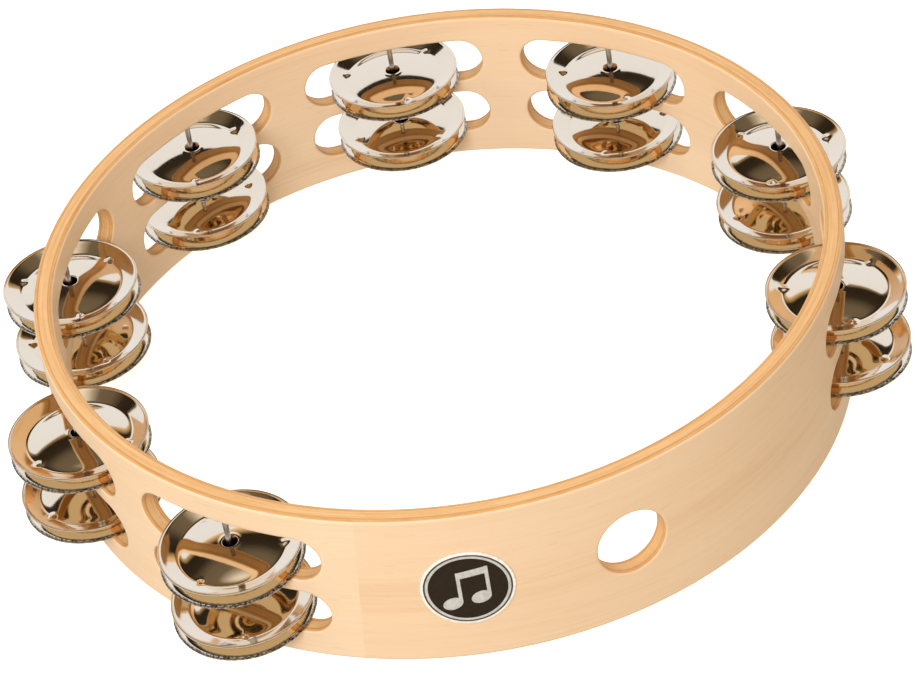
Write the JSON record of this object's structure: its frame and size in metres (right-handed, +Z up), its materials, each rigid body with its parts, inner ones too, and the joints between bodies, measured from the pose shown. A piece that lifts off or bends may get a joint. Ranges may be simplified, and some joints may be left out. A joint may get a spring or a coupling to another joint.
{
  "type": "headless tambourine",
  "caption": "Headless wooden tambourine: a bent-ply hoop with rows of slots, loose pairs of domed metal jingles on vertical pins, a grip hole and a round badge.",
  "frame": {"origin": "centre of the footprint on the surface that the hoop's lower edge lies on", "axes": "+Z up along the hoop's axis, -Y towards the grip, where the hoop has no jingles, +X to the right seen from the grip"},
  "size_m": [0.2918, 0.267, 0.056],
  "materials": {
    "face_ply": "clear satin lacquer over pale close-grained veneer",
    "core_ply": "clear satin lacquer over a cut ply edge",
    "jingle_nickel": "pressed steel with polished nickel plating",
    "pin_steel": "bright drawn wire",
    "badge_film": "printed film under a clear gloss layer"
  },
  "bodies": {
    "root": {"hoop_inner_ply": "face_ply", "hoop_core_ply": "core_ply", "hoop_outer_ply": "face_ply", "round_badge": "badge_film", "jingle_pin_1": "pin_steel", "jingle_pin_2": "pin_steel", "jingle_pin_3": "pin_steel", "jingle_pin_4": "pin_steel", "jingle_pin_5": "pin_steel", "jingle_pin_6": "pin_steel", "jingle_pin_7": "pin_steel", "jingle_pin_8": "pin_steel"},
    "top_row_1_lower_plate": {"top_row_1_lower_plate": "jingle_nickel"},
    "top_row_1_upper_plate": {"top_row_1_upper_plate": "jingle_nickel"},
    "top_row_2_lower_plate": {"top_row_2_lower_plate": "jingle_nickel"},
    "top_row_2_upper_plate": {"top_row_2_upper_plate": "jingle_nickel"},
    "top_row_3_lower_plate": {"top_row_3_lower_plate": "jingle_nickel"},
    "top_row_3_upper_plate": {"top_row_3_upper_plate": "jingle_nickel"},
    "top_row_4_lower_plate": {"top_row_4_lower_plate": "jingle_nickel"},
    "top_row_4_upper_plate": {"top_row_4_upper_plate": "jingle_nickel"},
    "top_row_5_lower_plate": {"top_row_5_lower_plate": "jingle_nickel"},
    "top_row_5_upper_plate": {"top_row_5_upper_plate": "jingle_nickel"},
    "top_row_6_lower_plate": {"top_row_6_lower_plate": "jingle_nickel"},
    "top_row_6_upper_plate": {"top_row_6_upper_plate": "jingle_nickel"},
    "top_row_7_lower_plate": {"top_row_7_lower_plate": "jingle_nickel"},
    "top_row_7_upper_plate": {"top_row_7_upper_plate": "jingle_nickel"},
    "top_row_8_lower_plate": {"top_row_8_lower_plate": "jingle_nickel"},
    "top_row_8_upper_plate": {"top_row_8_upper_plate": "jingle_nickel"},
    "bottom_row_1_lower_plate": {"bottom_row_1_lower_plate": "jingle_nickel"},
    "bottom_row_1_upper_plate": {"bottom_row_1_upper_plate": "jingle_nickel"},
    "bottom_row_2_lower_plate": {"bottom_row_2_lower_plate": "jingle_nickel"},
    "bottom_row_2_upper_plate": {"bottom_row_2_upper_plate": "jingle_nickel"},
    "bottom_row_3_lower_plate": {"bottom_row_3_lower_plate": "jingle_nickel"},
    "bottom_row_3_upper_plate": {"bottom_row_3_upper_plate": "jingle_nickel"},
    "bottom_row_4_lower_plate": {"bottom_row_4_lower_plate": "jingle_nickel"},
    "bottom_row_4_upper_plate": {"bottom_row_4_upper_plate": "jingle_nickel"},
    "bottom_row_5_lower_plate": {"bottom_row_5_lower_plate": "jingle_nickel"},
    "bottom_row_5_upper_plate": {"bottom_row_5_upper_plate": "jingle_nickel"},
    "bottom_row_6_lower_plate": {"bottom_row_6_lower_plate": "jingle_nickel"},
    "bottom_row_6_upper_plate": {"bottom_row_6_upper_plate": "jingle_nickel"},
    "bottom_row_7_lower_plate": {"bottom_row_7_lower_plate": "jingle_nickel"},
    "bottom_row_7_upper_plate": {"bottom_row_7_upper_plate": "jingle_nickel"},
    "bottom_row_8_lower_plate": {"bottom_row_8_lower_plate": "jingle_nickel"},
    "bottom_row_8_upper_plate": {"bottom_row_8_upper_plate": "jingle_nickel"}
  },
  "joints": [
    {"name": "top_row_1_lower_slide", "type": "slide", "parent": "root", "child": "top_row_1_lower_plate", "axis": [0, 0, 1], "range_m": [0, 0.0047]},
    {"name": "top_row_1_upper_slide", "type": "slide", "parent": "top_row_1_lower_plate", "child": "top_row_1_upper_plate", "axis": [0, 0, 1], "range_m": [0, 0.0047]},
    {"name": "top_row_2_lower_slide", "type": "slide", "parent": "root", "child": "top_row_2_lower_plate", "axis": [0, 0, 1], "range_m": [0, 0.0047]},
    {"name": "top_row_2_upper_slide", "type": "slide", "parent": "top_row_2_lower_plate", "child": "top_row_2_upper_plate", "axis": [0, 0, 1], "range_m": [0, 0.0047]},
    {"name": "top_row_3_lower_slide", "type": "slide", "parent": "root", "child": "top_row_3_lower_plate", "axis": [0, 0, 1], "range_m": [0, 0.0047]},
    {"name": "top_row_3_upper_slide", "type": "slide", "parent": "top_row_3_lower_plate", "child": "top_row_3_upper_plate", "axis": [0, 0, 1], "range_m": [0, 0.0047]},
    {"name": "top_row_4_lower_slide", "type": "slide", "parent": "root", "child": "top_row_4_lower_plate", "axis": [0, 0, 1], "range_m": [0, 0.0047]},
    {"name": "top_row_4_upper_slide", "type": "slide", "parent": "top_row_4_lower_plate", "child": "top_row_4_upper_plate", "axis": [0, 0, 1], "range_m": [0, 0.0047]},
    {"name": "top_row_5_lower_slide", "type": "slide", "parent": "root", "child": "top_row_5_lower_plate", "axis": [0, 0, 1], "range_m": [0, 0.0047]},
    {"name": "top_row_5_upper_slide", "type": "slide", "parent": "top_row_5_lower_plate", "child": "top_row_5_upper_plate", "axis": [0, 0, 1], "range_m": [0, 0.0047]},
    {"name": "top_row_6_lower_slide", "type": "slide", "parent": "root", "child": "top_row_6_lower_plate", "axis": [0, 0, 1], "range_m": [0, 0.0047]},
    {"name": "top_row_6_upper_slide", "type": "slide", "parent": "top_row_6_lower_plate", "child": "top_row_6_upper_plate", "axis": [0, 0, 1], "range_m": [0, 0.0047]},
    {"name": "top_row_7_lower_slide", "type": "slide", "parent": "root", "child": "top_row_7_lower_plate", "axis": [0, 0, 1], "range_m": [0, 0.0047]},
    {"name": "top_row_7_upper_slide", "type": "slide", "parent": "top_row_7_lower_plate", "child": "top_row_7_upper_plate", "axis": [0, 0, 1], "range_m": [0, 0.0047]},
    {"name": "top_row_8_lower_slide", "type": "slide", "parent": "root", "child": "top_row_8_lower_plate", "axis": [0, 0, 1], "range_m": [0, 0.0047]},
    {"name": "top_row_8_upper_slide", "type": "slide", "parent": "top_row_8_lower_plate", "child": "top_row_8_upper_plate", "axis": [0, 0, 1], "range_m": [0, 0.0047]},
    {"name": "bottom_row_1_lower_slide", "type": "slide", "parent": "root", "child": "bottom_row_1_lower_plate", "axis": [0, 0, 1], "range_m": [0, 0.0047]},
    {"name": "bottom_row_1_upper_slide", "type": "slide", "parent": "bottom_row_1_lower_plate", "child": "bottom_row_1_upper_plate", "axis": [0, 0, 1], "range_m": [0, 0.0047]},
    {"name": "bottom_row_2_lower_slide", "type": "slide", "parent": "root", "child": "bottom_row_2_lower_plate", "axis": [0, 0, 1], "range_m": [0, 0.0047]},
    {"name": "bottom_row_2_upper_slide", "type": "slide", "parent": "bottom_row_2_lower_plate", "child": "bottom_row_2_upper_plate", "axis": [0, 0, 1], "range_m": [0, 0.0047]},
    {"name": "bottom_row_3_lower_slide", "type": "slide", "parent": "root", "child": "bottom_row_3_lower_plate", "axis": [0, 0, 1], "range_m": [0, 0.0047]},
    {"name": "bottom_row_3_upper_slide", "type": "slide", "parent": "bottom_row_3_lower_plate", "child": "bottom_row_3_upper_plate", "axis": [0, 0, 1], "range_m": [0, 0.0047]},
    {"name": "bottom_row_4_lower_slide", "type": "slide", "parent": "root", "child": "bottom_row_4_lower_plate", "axis": [0, 0, 1], "range_m": [0, 0.0047]},
    {"name": "bottom_row_4_upper_slide", "type": "slide", "parent": "bottom_row_4_lower_plate", "child": "bottom_row_4_upper_plate", "axis": [0, 0, 1], "range_m": [0, 0.0047]},
    {"name": "bottom_row_5_lower_slide", "type": "slide", "parent": "root", "child": "bottom_row_5_lower_plate", "axis": [0, 0, 1], "range_m": [0, 0.0047]},
    {"name": "bottom_row_5_upper_slide", "type": "slide", "parent": "bottom_row_5_lower_plate", "child": "bottom_row_5_upper_plate", "axis": [0, 0, 1], "range_m": [0, 0.0047]},
    {"name": "bottom_row_6_lower_slide", "type": "slide", "parent": "root", "child": "bottom_row_6_lower_plate", "axis": [0, 0, 1], "range_m": [0, 0.0047]},
    {"name": "bottom_row_6_upper_slide", "type": "slide", "parent": "bottom_row_6_lower_plate", "child": "bottom_row_6_upper_plate", "axis": [0, 0, 1], "range_m": [0, 0.0047]},
    {"name": "bottom_row_7_lower_slide", "type": "slide", "parent": "root", "child": "bottom_row_7_lower_plate", "axis": [0, 0, 1], "range_m": [0, 0.0047]},
    {"name": "bottom_row_7_upper_slide", "type": "slide", "parent": "bottom_row_7_lower_plate", "child": "bottom_row_7_upper_plate", "axis": [0, 0, 1], "range_m": [0, 0.0047]},
    {"name": "bottom_row_8_lower_slide", "type": "slide", "parent": "root", "child": "bottom_row_8_lower_plate", "axis": [0, 0, 1], "range_m": [0, 0.0047]},
    {"name": "bottom_row_8_upper_slide", "type": "slide", "parent": "bottom_row_8_lower_plate", "child": "bottom_row_8_upper_plate", "axis": [0, 0, 1], "range_m": [0, 0.0047]}
  ]
}
